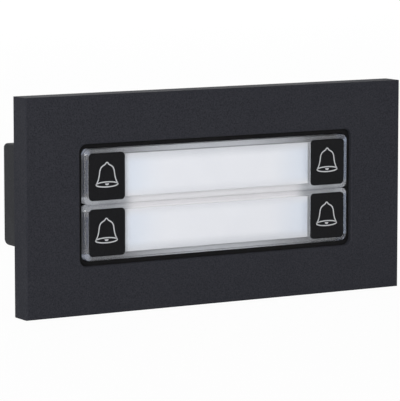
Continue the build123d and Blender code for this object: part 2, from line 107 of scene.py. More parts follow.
camera_data = bpy.data.cameras.new("photo_camera")
camera_data.sensor_fit = "HORIZONTAL"
camera_data.sensor_width = SENSOR_MM
camera_data.lens = FOCAL_PX * SENSOR_MM / IMAGE_WIDTH_PX
camera_data.clip_start = NEAREST_SEEN
camera = bpy.data.objects.new("photo_camera", camera_data)
bpy.context.scene.collection.objects.link(camera)
forward = Vector((math.sin(CAMERA_YAW) * math.cos(CAMERA_PITCH),
                  math.cos(CAMERA_YAW) * math.cos(CAMERA_PITCH),
                  -math.sin(CAMERA_PITCH)))
rightward = Vector((math.cos(CAMERA_YAW), -math.sin(CAMERA_YAW), 0.0))
camera_turn = Matrix((rightward, rightward.cross(forward), -forward)).transposed()
camera.matrix_world = Matrix.Translation(CAMERA_AT) @ camera_turn.to_4x4()
bpy.context.scene.camera = camera
print("camera lens", round(camera_data.lens, 1), "mm")

# %% [markdown]
# ## Node helpers
# A material is a small graph of nodes. Writing it in code is easiest with short helpers. The first few
# place a node, set its values and join an output to an input. The others place a node that does one sum or
# one mix and return its output, so that a chain of nodes reads like a formula.


# %% Helpers that place and join nodes
def set_inputs(node, values):
    """Sets a node's inputs by name."""
    for name, value in values.items():
        node.inputs[name].default_value = value


def place(tree, kind, values=None, **settings):
    """A new node with the given properties and input values."""
    node = tree.nodes.new(kind)
    for name, value in settings.items():
        setattr(node, name, value)
    set_inputs(node, values or {})
    return node


def join(tree, source, target):
    """A link from an output socket to an input socket."""
    tree.links.new(source, target)


def feed(tree, value, target):
    """Gives an input another node's output, a colour or a number."""
    if isinstance(value, bpy.types.NodeSocket):
        join(tree, value, target)
    else:
        target.default_value = (*value, 1.0) if isinstance(value, tuple) else value


# %% Helpers that return a socket
def combine(tree, operation, first, second):
    """The result of a Math node on two sockets or numbers."""
    node = place(tree, "ShaderNodeMath", operation=operation)
    feed(tree, first, node.inputs[0])
    feed(tree, second, node.inputs[1])
    return node.outputs["Value"]


def ramp(tree, value, start=0.0, end=1.0, low=0.0, high=1.0):
    """A number that goes from low to high while a value goes from start to end."""
    node = place(tree, "ShaderNodeMapRange",
                 {"From Min": start, "From Max": end, "To Min": low, "To Max": high})
    join(tree, value, node.inputs["Value"])
    return node.outputs["Result"]


def mix_colours(tree, mask, low, high, way="MIX"):
    """A colour that goes from low to high with a mask; each of them may be a socket."""
    node = place(tree, "ShaderNodeMix", data_type="RGBA", blend_type=way)
    feed(tree, mask, node.inputs["Factor"])
    feed(tree, low, node.inputs["A"])
    feed(tree, high, node.inputs["B"])
    return node.outputs["Result"]


# %% [markdown]
# ## Shared effects
# Four effects come back in several finishes, so each is a node group built once. The grain is the fine
# tooth of a coated or spark-eroded surface. The soft edge rounds the shading of a sharp edge by a tenth of
# a millimetre and gives a mask of where edges are, for rubbed corners. The handling group is the uneven
# gloss that touching and wiping leave behind. The band group is a mask that rises between two distances
# from a middle plane, for tones that follow the shape of a part. All of them work in object coordinates,
# which are metres in the module's own frame, so nothing slides when the camera moves.

# %% Group builder
FLOAT = "NodeSocketFloat"
VECTOR = "NodeSocketVector"


def new_group(name, inputs, outputs):
    """An empty shader group with float inputs (name, default) and outputs (name, kind)."""
    group = bpy.data.node_groups.new(name, "ShaderNodeTree")
    for socket_name, default in inputs:
        socket = group.interface.new_socket(socket_name, in_out="INPUT", socket_type=FLOAT)
        socket.default_value = default
    for socket_name, kind in outputs:
        group.interface.new_socket(socket_name, in_out="OUTPUT", socket_type=kind)
    return group, place(group, "NodeGroupInput"), place(group, "NodeGroupOutput")


# %% Fine grain group
GRAIN_SPREAD = (0.3, 0.7)
SPECK_CHANCE = 0.93
SPECK_EDGE = (0.45, 0.15)

grain_group, g_in, g_out = new_group(
    "fine_grain", [("Scale", 3000.0), ("Roughness", 0.55)],
    [("Mask", FLOAT), ("Height", FLOAT), ("Specks", FLOAT)])
g_where = place(grain_group, "ShaderNodeTexCoord").outputs["Object"]
g_noise = place(grain_group, "ShaderNodeTexNoise", {"Detail": 3.0})
g_cells = place(grain_group, "ShaderNodeTexVoronoi", feature="F1")
for texture in (g_noise, g_cells):
    join(grain_group, g_where, texture.inputs["Vector"])
    join(grain_group, g_in.outputs["Scale"], texture.inputs["Scale"])
join(grain_group, g_in.outputs["Roughness"], g_noise.inputs["Roughness"])
join(grain_group, ramp(grain_group, g_noise.outputs["Fac"], *GRAIN_SPREAD), g_out.inputs["Mask"])
join(grain_group, g_noise.outputs["Fac"], g_out.inputs["Height"])
g_chance = place(grain_group, "ShaderNodeSeparateColor")
join(grain_group, g_cells.outputs["Color"], g_chance.inputs["Color"])
g_rare = combine(grain_group, "GREATER_THAN", g_chance.outputs["Red"], SPECK_CHANCE)
g_dot = ramp(grain_group, g_cells.outputs["Distance"], *SPECK_EDGE)
join(grain_group, combine(grain_group, "MULTIPLY", g_rare, g_dot), g_out.inputs["Specks"])
print(grain_group.name, len(grain_group.nodes), "nodes")

# %% Soft edge group
EDGE_TURN = (0.995, 0.9)

edge_group, e_in, e_out = new_group("soft_edge", [("Radius", 0.00015)], [("Normal", VECTOR), ("Edge", FLOAT)])
e_round = place(edge_group, "ShaderNodeBevel", samples=4)
e_flat = place(edge_group, "ShaderNodeNewGeometry")
e_same = place(edge_group, "ShaderNodeVectorMath", operation="DOT_PRODUCT")
join(edge_group, e_in.outputs["Radius"], e_round.inputs["Radius"])
join(edge_group, e_round.outputs["Normal"], e_out.inputs["Normal"])
join(edge_group, e_round.outputs["Normal"], e_same.inputs[0])
join(edge_group, e_flat.outputs["Normal"], e_same.inputs[1])
join(edge_group, ramp(edge_group, e_same.outputs["Value"], *EDGE_TURN), e_out.inputs["Edge"])
print(edge_group.name, len(edge_group.nodes), "nodes")

# %% Handling group
CLOUD_SPREAD = (0.35, 0.65)

touch_group, t_in, t_out = new_group("handling", [("Scale", 60.0)], [("Mask", FLOAT)])
t_where = place(touch_group, "ShaderNodeTexCoord").outputs["Object"]
t_cloud = place(touch_group, "ShaderNodeTexNoise", {"Detail": 4.0, "Roughness": 0.6, "Distortion": 0.6})
join(touch_group, t_where, t_cloud.inputs["Vector"])
join(touch_group, t_in.outputs["Scale"], t_cloud.inputs["Scale"])
join(touch_group, ramp(touch_group, t_cloud.outputs["Fac"], *CLOUD_SPREAD), t_out.inputs["Mask"])
print(touch_group.name, len(touch_group.nodes), "nodes")

# %% Band group
band_group, b_in, b_out = new_group(
    "band", [("Coordinate", 0.0), ("Start", 0.0), ("End", 0.001)], [("Mask", FLOAT)])
b_distance = place(band_group, "ShaderNodeMath", operation="ABSOLUTE")
b_rise = place(band_group, "ShaderNodeMapRange", interpolation_type="SMOOTHSTEP")
join(band_group, b_in.outputs["Coordinate"], b_distance.inputs[0])
join(band_group, b_distance.outputs["Value"], b_rise.inputs["Value"])
join(band_group, b_in.outputs["Start"], b_rise.inputs["From Min"])
join(band_group, b_in.outputs["End"], b_rise.inputs["From Max"])
join(band_group, b_rise.outputs["Result"], b_out.inputs["Mask"])
print(band_group.name, len(band_group.nodes), "nodes")

# %% [markdown]
# ## Moulded and coated finishes
# Most of the module is one family of finish: a colour with a fine tooth, edges a little lighter where the
# skin is thin or rubbed, and a gloss that varies with handling. Each could be built by hand, but one
# function makes them all, so the difference between powder coat, spark-eroded plastic, rubber and silicone
# is a row of numbers.


# %% Material helpers
def use_group(tree, group, **values):
    """A group node in a material, with its own input values."""
    return place(tree, "ShaderNodeGroup", values, node_tree=group)


def blank_material(name):
    """A material with only a Principled shader and an output."""
    material = bpy.data.materials.new(name)
    material.use_nodes = True
    tree = material.node_tree
    tree.nodes.clear()
    shader = place(tree, "ShaderNodeBsdfPrincipled")
    output = place(tree, "ShaderNodeOutputMaterial")
    join(tree, shader.outputs["BSDF"], output.inputs["Surface"])
    return material, tree, shader, output


def vary_gloss(tree, shader, mask, low, high):
    """Roughness that goes from low to high with a mask."""
    join(tree, ramp(tree, mask, low=low, high=high), shader.inputs["Roughness"])


def raise_surface(tree, shader, height, depth_mm, strength=1.0, normal=None):
    """A bump that follows a height, on top of another normal where one is given."""
    bump = place(tree, "ShaderNodeBump", {"Strength": strength, "Distance": depth_mm * MM})
    join(tree, height, bump.inputs["Height"])
    if normal is not None:
        join(tree, normal, bump.inputs["Normal"])
    join(tree, bump.outputs["Normal"], shader.inputs["Normal"])


# %% Toothed finish
FINISHES = {}


def toothed_finish(name, dark, light, edge, gloss, scale, depth_mm, specular, radius_mm=0.12, metallic=0.0):
    """A finish with fine grain in colour and height, lighter edges and uneven gloss."""
    material, tree, shader, _ = blank_material(name)
    grain = use_group(tree, grain_group, Scale=scale)
    soft = use_group(tree, edge_group, Radius=radius_mm * MM)
    touch = use_group(tree, touch_group)
    ground = mix_colours(tree, grain.outputs["Mask"], dark, light)
    flecked = mix_colours(tree, grain.outputs["Specks"], ground, edge)
    join(tree, mix_colours(tree, soft.outputs["Edge"], flecked, edge), shader.inputs["Base Color"])
    vary_gloss(tree, shader, touch.outputs["Mask"], *gloss)
    raise_surface(tree, shader, grain.outputs["Height"], depth_mm, normal=soft.outputs["Normal"])
    set_inputs(shader, {"Specular IOR Level": specular, "Metallic": metallic})
    return material


def add_toothed(rows):
    """Makes one toothed finish for each named row of numbers."""
    for name, row in rows.items():
        FINISHES[name] = toothed_finish(name, **row)
    print("toothed finishes", sorted(rows))


# %% Coats, plastics and rubbers
add_toothed({
    "plate_coat": dict(
        dark=(0.0145, 0.0152, 0.0200), light=(0.0315, 0.0325, 0.0400), edge=(0.029, 0.030, 0.036),
        gloss=(0.76, 0.88), scale=2600.0, depth_mm=0.030, specular=0.12),
    "box_plastic": dict(
        dark=(0.0200, 0.0208, 0.0235), light=(0.0310, 0.0320, 0.0355), edge=(0.038, 0.039, 0.043),
        gloss=(0.70, 0.84), scale=1700.0, depth_mm=0.025, specular=0.16),
    "black_plastic": dict(
        dark=(0.0040, 0.0040, 0.0045), light=(0.0070, 0.0070, 0.0078), edge=(0.009, 0.009, 0.010),
        gloss=(0.55, 0.70), scale=2200.0, depth_mm=0.020, specular=0.10),
    "header_plastic": dict(
        dark=(0.0100, 0.0100, 0.0110), light=(0.0160, 0.0160, 0.0170), edge=(0.022, 0.022, 0.023),
        gloss=(0.40, 0.55), scale=2400.0, depth_mm=0.015, specular=0.30),
    "silicone": dict(
        dark=(0.500, 0.510, 0.520), light=(0.580, 0.590, 0.600), edge=(0.620, 0.630, 0.640),
        gloss=(0.60, 0.75), scale=1300.0, depth_mm=0.010, specular=0.25),
    "seal_rubber": dict(
        dark=(0.0080, 0.0080, 0.0085), light=(0.0140, 0.0140, 0.0145), edge=(0.020, 0.020, 0.021),
        gloss=(0.70, 0.85), scale=1600.0, depth_mm=0.020, specular=0.18),
    "carbon_rubber": dict(
        dark=(0.0060, 0.0060, 0.0060), light=(0.0120, 0.0120, 0.0120), edge=(0.016, 0.016, 0.016),
        gloss=(0.75, 0.90), scale=2500.0, depth_mm=0.025, specular=0.10),
    "block_resin": dict(
        dark=(0.460, 0.250, 0.035), light=(0.560, 0.330, 0.055), edge=(0.620, 0.400, 0.080),
        gloss=(0.35, 0.50), scale=1500.0, depth_mm=0.008, specular=0.40),
    "led_resin": dict(
        dark=(0.800, 0.700, 0.280), light=(0.860, 0.780, 0.380), edge=(0.880, 0.840, 0.600),
        gloss=(0.18, 0.30), scale=900.0, depth_mm=0.004, specular=0.50),
})

# %% [markdown]
# ## Metal finishes
# Zinc-plated screws and gold-plated pins are metals: their colour is the colour of the reflection. Plating
# is never quite even, so the gloss follows the handling mask and the grain adds a slight tumbling texture.

# %% Plated metals
add_toothed({
    "screw_steel": dict(
        dark=(0.480, 0.485, 0.500), light=(0.580, 0.580, 0.585), edge=(0.680, 0.680, 0.690),
        gloss=(0.28, 0.42), scale=1400.0, depth_mm=0.006, specular=0.50, radius_mm=0.08, metallic=1.0),
    "pin_brass": dict(
        dark=(0.700, 0.500, 0.190), light=(0.780, 0.590, 0.260), edge=(0.860, 0.680, 0.360),
        gloss=(0.18, 0.30), scale=1800.0, depth_mm=0.003, specular=0.50, radius_mm=0.05, metallic=1.0),
})

# %% [markdown]
# ## Bell panels and their ink
# The panels are thin black film with a silk finish, let in a hair below the clear face. The sign on each is
# a line of pale ink, screen-printed, so it is matt and very slightly uneven in density.

# %% Panel film and sign ink
add_toothed({
    "panel_black": dict(
        dark=(0.0058, 0.0060, 0.0068), light=(0.0088, 0.0090, 0.0102), edge=(0.012, 0.012, 0.013),
        gloss=(0.34, 0.46), scale=2800.0, depth_mm=0.004, specular=0.07, radius_mm=0.05),
    "sign_ink": dict(
        dark=(0.470, 0.480, 0.500), light=(0.550, 0.560, 0.580), edge=(0.540, 0.550, 0.570),
        gloss=(0.50, 0.65), scale=3500.0, depth_mm=0.003, specular=0.25, radius_mm=0.02),
})

# %% [markdown]
# ## White carrier
# The carrier behind each clear cap is white, but its flange carries painted light and shade where it shows
# through the clear rim: pale between the two keys and lighter on the upper key's side, with a painted light
# line beside the card's inner edge, grey along the outside where the window wall shades it, darker towards
# the ends, with the left and the right end shaded differently because the lamp stands at the left, and with a
# painted shadow line at its foot and a painted dark line near its lip. It is one colour, mixed with masks
# that follow the object coordinates, and the limits of the masks are measured from the CAD boxes.


# %% Masks along the axes
SIDE_SOFT = 0.2


def object_axes(tree):
    """The object coordinates, whole and as three outputs named X, Y and Z."""
    where = place(tree, "ShaderNodeTexCoord").outputs["Object"]
    axes = place(tree, "ShaderNodeSeparateXYZ")
    join(tree, where, axes.inputs["Vector"])
    return where, axes.outputs


def band_mask(tree, coordinate, start_mm, end_mm):
    """A mask that rises from 0 to 1 between two distances from the middle plane."""
    band = use_group(tree, band_group, Start=start_mm * MM, End=end_mm * MM)
    join(tree, coordinate, band.inputs["Coordinate"])
    return band.outputs["Mask"]


def stripe_mask(tree, coordinate, rise_mm, fall_mm):
    """A mask that is 1 between two distances from the middle plane, each given by its start and end."""
    risen = band_mask(tree, coordinate, *rise_mm)
    fallen = band_mask(tree, coordinate, *fall_mm)
    return combine(tree, "SUBTRACT", risen, fallen)


def side_mask(tree, coordinate):
    """A mask that is 0 on the minus side of the middle plane and 1 on the plus side."""
    return ramp(tree, coordinate, -SIDE_SOFT * MM, SIDE_SOFT * MM)


# %% Measures that the masks follow, in millimetres
card_low, card_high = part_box("upper_name_card")
lens_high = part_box("upper_lens")[1]
card_end = card_high.x / MM
card_rim = card_high.z / MM
card_inner = card_low.z / MM
key_end = lens_high.x / MM
key_lip = lens_high.z / MM
print("card", round(card_end, 2), "mm out and", round(card_inner, 2), "to", round(card_rim, 2), "mm up")

# %% Where each painted light and shade of the carrier lies, as an axis and where the mask starts and ends
CARRIER_SHADE_BANDS = {
    "beside_card": ("X", card_end - 4.0, card_end + 0.4),
    "outer_fall": ("X", 6.0, key_end + 2.0),
    "at_end": ("X", key_end - 3.4, key_end - 1.2),
    "outer_rim": ("Z", card_rim - 0.1, card_rim + 0.3),
    "off_seam": ("Z", 1.6, 2.4),
    "lip_shade_line": ("Z", key_lip - 0.26, key_lip - 0.16),
    "plug_side": ("Y", 4.2, 4.4),
}
# The card line paints light beside the card's inner edge; the foot line paints a shadow at the flange's foot.
CARD_LIGHT_LINE = ((1.3, 1.7), (2.0, 2.4))
FOOT_SHADOW_LINE = ((card_rim - 0.02, card_rim + 0.02), (card_rim + 0.14, card_rim + 0.24))

carrier, carrier_tree, carrier_shader, _ = blank_material("white_plastic")
_, carrier_axes = object_axes(carrier_tree)
shown = {name: band_mask(carrier_tree, carrier_axes[axis], start, end)
         for name, (axis, start, end) in CARRIER_SHADE_BANDS.items()}
shown["above"] = side_mask(carrier_tree, carrier_axes["Z"])
shown["to_right"] = side_mask(carrier_tree, carrier_axes["X"])
shown["card_light_line"] = stripe_mask(carrier_tree, carrier_axes["Z"], *CARD_LIGHT_LINE)
shown["foot_line"] = stripe_mask(carrier_tree, carrier_axes["Z"], *FOOT_SHADOW_LINE)
# Painted shadow line at the foot and painted dark line near the lip, joined into one mask.
shown["painted_shadow_lines"] = combine(carrier_tree, "ADD", shown["foot_line"], shown["lip_shade_line"])
shown["key_end"] = combine(carrier_tree, "MULTIPLY", shown["at_end"], shown["off_seam"])
print("carrier masks", sorted(shown))

# %% Carrier tones, which are painted light and shade
CARRIER_WHITE = (0.80, 0.81, 0.84)
PAINTED_LIGHT_LINE = (1.2, 1.2, 1.2)


def grey(level):
    """A share of the carrier's slightly blue white."""
    return tuple(part * level for part in CARRIER_WHITE)


def toned(mask_name, low, high, way="MIX"):
    """A colour of the carrier, with painted light and shade, that goes from low to high with one of its
    masks.
    """
    return mix_colours(carrier_tree, shown[mask_name], low, high, way)


# Painted light and shade: lighter on the upper key's side, greyer beside the card ends, a painted light line
# by the card's inner edge, grey on the outer rims and falling off towards the ends.
inner_field = toned("above", (0.700, 0.677, 0.675), (0.795, 0.775, 0.770))
inner_tone = toned("beside_card", inner_field, toned("above", grey(0.45), grey(0.62)))
inner_tone = toned("card_light_line", inner_tone, PAINTED_LIGHT_LINE, "MULTIPLY")
outer_field = toned("above", grey(0.64), grey(0.62))
outer_rim_shade = toned("outer_fall", outer_field, toned("to_right", grey(0.10), grey(0.03)))
# The painted shadow line at the foot and the painted dark line near the lip go on here.
rim_tone = toned("painted_shadow_lines", toned("outer_rim", inner_tone, outer_rim_shade), grey(0.20))
# Painted shade at the two ends, set apart for the left and the right end because the lamp stands at the left;
# near black on the side of the plug.
left_flange = toned("outer_rim", (0.16, 0.16, 0.17), (0.45, 0.48, 0.57))
left_end_shade = toned("plug_side", left_flange, (0.004, 0.010, 0.040))
right_end_shade = toned("outer_rim", (0.40, 0.48, 0.62), (0.015, 0.020, 0.040))
carrier_painted_shade = toned("key_end", rim_tone, toned("to_right", left_end_shade, right_end_shade))
print("carrier tones from white", CARRIER_WHITE)

# %% Carrier surface
FLECK_SHARE = 0.03

carrier_grain = use_group(carrier_tree, grain_group, Scale=1500.0)
carrier_touch = use_group(carrier_tree, touch_group)
carrier_fleck = carrier_grain.outputs["Mask"]
join(carrier_tree, mix_colours(carrier_tree, FLECK_SHARE, carrier_painted_shade, carrier_fleck, "MULTIPLY"),
     carrier_shader.inputs["Base Color"])
vary_gloss(carrier_tree, carrier_shader, carrier_touch.outputs["Mask"], low=0.45, high=0.60)
raise_surface(carrier_tree, carrier_shader, carrier_grain.outputs["Height"], depth_mm=0.002)
set_inputs(carrier_shader, {"Specular IOR Level": 0.3})
FINISHES["white_plastic"] = carrier
print("carrier", len(carrier_tree.nodes), "nodes")

# %% [markdown]
# ## Circuit board
# A board is glass cloth in resin under green solder mask. The cloth shows as a faint square weave, which
# two crossed wave textures give, and the mask is glossier than the plastics round it.

# %% Board laminate
CLOTH_SCALE = 420.0

board, board_tree, board_shader, _ = blank_material("board_laminate")
board_where = place(board_tree, "ShaderNodeTexCoord").outputs["Object"]
weave = []
for direction in ("X", "Z"):
    thread = place(board_tree, "ShaderNodeTexWave", {"Scale": CLOTH_SCALE, "Distortion": 0.4},
                   wave_type="BANDS", bands_direction=direction)
    join(board_tree, board_where, thread.inputs["Vector"])
    weave.append(thread.outputs["Fac"])
cloth = combine(board_tree, "MULTIPLY", *weave)
join(board_tree, mix_colours(board_tree, cloth, (0.012, 0.090, 0.035), (0.022, 0.140, 0.055)),
     board_shader.inputs["Base Color"])
raise_surface(board_tree, board_shader, cloth, depth_mm=0.006, strength=0.5)
board_touch = use_group(board_tree, touch_group)
vary_gloss(board_tree, board_shader, board_touch.outputs["Mask"], low=0.22, high=0.36)
FINISHES["board_laminate"] = board
print("board", len(board_tree.nodes), "nodes")

# %% [markdown]
# ## Name card
# The card is uncoated white paper. Paper is matt and slightly cloudy, with fibres a few tenths of a
# millimetre long: a stretched noise gives the fibres and the handling group gives the clouds. Under a thick
# clear cap less light reaches the card's edges. Real bounces inside the cap would need very many samples,
# so the fall is toned into the paper instead, edge by edge.

# %% Card fibres and clouds
FIBRE_STRETCH = (0.35, 1.0, 1.0)

card, card_tree, card_shader, _ = blank_material("card_paper")
card_where, card_axes = object_axes(card_tree)
card_stretch = place(card_tree, "ShaderNodeMapping", {"Scale": FIBRE_STRETCH})
card_noise = place(card_tree, "ShaderNodeTexNoise", {"Scale": 2400.0, "Detail": 4.0, "Roughness": 0.6})
join(card_tree, card_where, card_stretch.inputs["Vector"])
join(card_tree, card_stretch.outputs["Vector"], card_noise.inputs["Vector"])
card_fibre = card_noise.outputs["Fac"]
card_cloud = use_group(card_tree, touch_group, Scale=45.0).outputs["Mask"]
card_tone = mix_colours(card_tree, card_cloud, (0.840, 0.832, 0.842), (0.857, 0.848, 0.855))
print("card fibres stretched", FIBRE_STRETCH)

# %% Card edges and surface
CARD_FIBRE_SHARE = 0.06

along, up = card_axes["X"], card_axes["Z"]
# Painted shade at both ends, at the right tip and along the outer and inner edges; painted light at the left
# tip.
card_edges = {
    "both_ends": (band_mask(card_tree, along, card_end - 14.0, card_end + 0.5), (0.722, 0.760, 0.818)),
    "right_tip": (ramp(card_tree, along, (card_end - 2.5) * MM, card_end * MM), (0.615, 0.650, 0.715)),
    "left_tip": (ramp(card_tree, along, (1.7 - card_end) * MM, (0.2 - card_end) * MM), (0.900, 0.920, 0.950)),
    "outer_edge": (band_mask(card_tree, up, card_rim - 3.0, card_rim + 0.2), (0.625, 0.625, 0.640)),
    "inner_edge": (band_mask(card_tree, up, card_inner + 2.6, card_inner - 0.2), (0.745, 0.738, 0.750)),
}
for edge_mask, edge_tone in card_edges.values():
    card_tone = mix_colours(card_tree, edge_mask, card_tone, edge_tone)
join(card_tree, mix_colours(card_tree, CARD_FIBRE_SHARE, card_tone, card_fibre, "MULTIPLY"),
     card_shader.inputs["Base Color"])
raise_surface(card_tree, card_shader, card_fibre, depth_mm=0.004, strength=0.6)
vary_gloss(card_tree, card_shader, card_cloud, low=0.75, high=0.85)
set_inputs(card_shader, {"Specular IOR Level": 0.2})
FINISHES["card_paper"] = card
print("card", len(card_tree.nodes), "nodes, edges", list(card_edges))

# %% [markdown]
# ## Clear caps
# The caps are clear acrylic. A glass-like shader bends the light, so the carrier and the dark ledge show
# displaced in the walls, as they do in the photograph. With acrylic's own index of 1.49, light that enters
# a side wall is led along the bar and hardly finds its way out, so the walls turn spotty and black. The
# bending is therefore set to 1.25, which still lets the end walls mirror, and a coat with 1.49 gives the
# true gloss on top. A few percent of haze stand for what a moulded part scatters. Lamps can't shine through
# bent glass without a great many samples either, so for shadow rays and for light that bounces off the card
# the cap counts as plainly transparent.

# %% Clear acrylic
CLEAR_IOR = 1.25
COAT_IOR = 1.49
CLEAR_TRANSMISSION = 0.97

clear, clear_tree, clear_shader, clear_output = blank_material("clear_plastic")
clear_touch = use_group(clear_tree, touch_group, Scale=90.0).outputs["Mask"]
join(clear_tree, mix_colours(clear_tree, clear_touch, (0.915, 0.940, 0.985), (0.930, 0.955, 0.995)),
     clear_shader.inputs["Base Color"])
vary_gloss(clear_tree, clear_shader, clear_touch, low=0.003, high=0.009)
raise_surface(clear_tree, clear_shader, clear_touch, depth_mm=0.002, strength=0.02)
set_inputs(clear_shader, {"IOR": CLEAR_IOR, "Coat Weight": 0.5, "Coat Roughness": 0.08, "Coat IOR": COAT_IOR,
                          "Transmission Weight": CLEAR_TRANSMISSION})
clear_path = place(clear_tree, "ShaderNodeLightPath")
clear_through = place(clear_tree, "ShaderNodeBsdfTransparent")
seen_shader = clear_shader.outputs["BSDF"]
for ray_kind in ("Is Shadow Ray", "Is Diffuse Ray"):
    clear_mix = place(clear_tree, "ShaderNodeMixShader")
    join(clear_tree, clear_path.outputs[ray_kind], clear_mix.inputs["Fac"])
    join(clear_tree, seen_shader, clear_mix.inputs[1])
    join(clear_tree, clear_through.outputs["BSDF"], clear_mix.inputs[2])
    seen_shader = clear_mix.outputs["Shader"]
join(clear_tree, seen_shader, clear_output.inputs["Surface"])
FINISHES["clear_plastic"] = clear
print("clear acrylic", len(clear_tree.nodes), "nodes")

# %% [markdown]
# ## Finishes onto the CAD nodes
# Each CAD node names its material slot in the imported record, so the finishes go on by that name and no node
# is left with the plain colour that it came with.

# %% Dress the CAD nodes
slot_of = {part["node"]: part["material_slot"] for part in frame["record"]["subparts"]}
for node_name, node in frame["nodes"].items():
    node.data.materials.clear()
    node.data.materials.append(FINISHES[slot_of[node_name]])
print("dressed", len(slot_of), "nodes")

# %% [markdown]
# ## Bell signs
# The sign on each panel is a common bell drawn in one even line: a body that rises from the rim over two
# shoulders to a small knob, an open rim seen a little from below, and a half-round clapper. It could be
# painted with a texture, but a line of real ink has an edge and stays sharp from any distance. So the
# centre line is given by a few points, smoothed by a spline, and turned into a flat ribbon that lies on the
# panel.

# %% Bell sign sizes, in millimetres from the panel's centre
SIGN_LINE = 0.31
SIGN_PROUD = 0.015
SIGN_SUNK = 0.005
BELL_SIDE = [(3.34, -2.08), (3.10, -1.66), (2.86, -1.20), (2.64, -0.60), (2.48, 0.00), (2.37, 0.60),
             (2.28, 1.20), (2.165, 1.80), (1.88, 2.40), (1.61, 2.70), (1.16, 3.00), (0.62, 3.30),
             (0.42, 3.52), (0.26, 3.74)]
BELL_CROWN = (0.0, 3.87)
RIM_HALF_W = 3.39
RIM_HALF_H = 0.695
RIM_DROP = -2.185
CLAPPER_R = 0.60
CLAPPER_DEPTH = 0.50
CLAPPER_TOP = -1.93
SPLINE_STEPS = 6
RIM_STEPS = 72
CLAPPER_STEPS = 16


# %% Bell sign outlines
def smooth_line(points):
    """Points along a Catmull-Rom spline through the given ones."""
    line = [points[0], *points, points[-1]]
    found = []
    for index in range(1, len(line) - 2):
        before, here, after, beyond = (Vector(p) for p in line[index - 1:index + 3])
        for step in range(SPLINE_STEPS):
            t = step / SPLINE_STEPS
            found.append(0.5 * (2 * here + (after - before) * t
                                + (2 * before - 5 * here + 4 * after - beyond) * t ** 2
                                + (3 * here - before - 3 * after + beyond) * t ** 3))
    return found + [Vector(points[-1])]


bell_body = smooth_line([(-x, z) for x, z in BELL_SIDE] + [BELL_CROWN] + BELL_SIDE[::-1])
bell_rim = [Vector((RIM_HALF_W * math.cos(2 * math.pi * k / RIM_STEPS),
                    RIM_DROP + RIM_HALF_H * math.sin(2 * math.pi * k / RIM_STEPS))) for k in range(RIM_STEPS)]
clapper = [Vector((CLAPPER_R * math.cos(math.pi * k / CLAPPER_STEPS),
                   CLAPPER_TOP - CLAPPER_DEPTH * math.sin(math.pi * k / CLAPPER_STEPS)))
           for k in range(CLAPPER_STEPS + 1)]
print("bell line points", len(bell_body), len(bell_rim), len(clapper))


# %% Ribbon and patch builders
def add_ribbon(mesh, line, closed, to_frame):
    """A flat ribbon of even width along a line, as a closed solid with four corners at each point."""
    count = len(line)
    rings = []
    for index, point in enumerate(line):
        before = line[index - 1] if closed or index else point
        after = line[(index + 1) % count] if closed or index < count - 1 else point
        along = (after - before).normalized()
        aside = Vector((-along.y, along.x)) * SIGN_LINE / 2
        rings.append([mesh.verts.new(to_frame(corner, level)) for corner, level in (
            (point + aside, -SIGN_PROUD), (point - aside, -SIGN_PROUD),
            (point - aside, SIGN_SUNK), (point + aside, SIGN_SUNK))])
    for index in range(count if closed else count - 1):
        here, there = rings[index], rings[(index + 1) % count]
        for side in range(4):
            mesh.faces.new((here[side], there[side], there[(side + 1) % 4], here[(side + 1) % 4]))
    if not closed:
        mesh.faces.new(rings[0])
        mesh.faces.new(rings[-1][::-1])


def add_patch(mesh, outline, to_frame):
    """A filled outline with the ribbon's thickness."""
    front = [mesh.verts.new(to_frame(point, -SIGN_PROUD)) for point in outline]
    back = [mesh.verts.new(to_frame(point, SIGN_SUNK)) for point in outline]
    mesh.faces.new(front)
    mesh.faces.new(back[::-1])
    for index in range(len(outline)):
        other = (index + 1) % len(outline)
        mesh.faces.new((front[index], back[index], back[other], front[other]))


def object_from(name, mesh, finish):
    """A scene object from an edited mesh, with outward faces and one finish."""
    bmesh.ops.recalc_face_normals(mesh, faces=mesh.faces)
    data = bpy.data.meshes.new(name)
    mesh.to_mesh(data)
    mesh.free()
    data.materials.append(finish)
    piece = bpy.data.objects.new(name, data)
    bpy.context.scene.collection.objects.link(piece)
    return piece


# %% Bell signs on the four panels, each with the small print offset that it has in the photograph
PRINT_OFFSET = {("upper", "left"): (0.04, 0.0), ("upper", "right"): (-0.02, 0.12),
                ("lower", "left"): (-0.19, 0.02), ("lower", "right"): (-0.08, -0.05)}


def on_panel(row, side):
    """A function that takes a point of the sign, at a level from the panel's front, to the frame."""
    low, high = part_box(f"{row}_bell_panel_{side}")
    shift_x, shift_z = PRINT_OFFSET[row, side]
    centre = (low + high) / 2 + Vector((shift_x * MM, 0.0, shift_z * MM))
    return lambda point, level: Vector((centre.x + point.x * MM, low.y + level * MM, centre.z + point.y * MM))


for row, side in PRINT_OFFSET:
    sign = bmesh.new()
    add_ribbon(sign, bell_body, False, on_panel(row, side))
    add_ribbon(sign, bell_rim, True, on_panel(row, side))
    add_patch(sign, clapper, on_panel(row, side))
    piece = object_from(f"{row}_bell_sign_{side}", sign, FINISHES["sign_ink"])
    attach(piece, f"{row}_key")
    print(piece.name, len(piece.data.polygons), "faces")

# %% [markdown]
# ## Silicone mat
# Under each post of a key the silicone mat has a boss that gives way, with a carbon pill on its inside. In
# the CAD model the mat is rigid, so a pressed key would cut into it. Cloth simulation would be too much for
# less than a millimetre. Instead the mat is copied in two halves, one for each key, each cut at the middle
# plane and closed where it was cut. The pills are cut the same way.

# %% Mat halves and pills, one of each for each key
WELD = 0.001 * MM


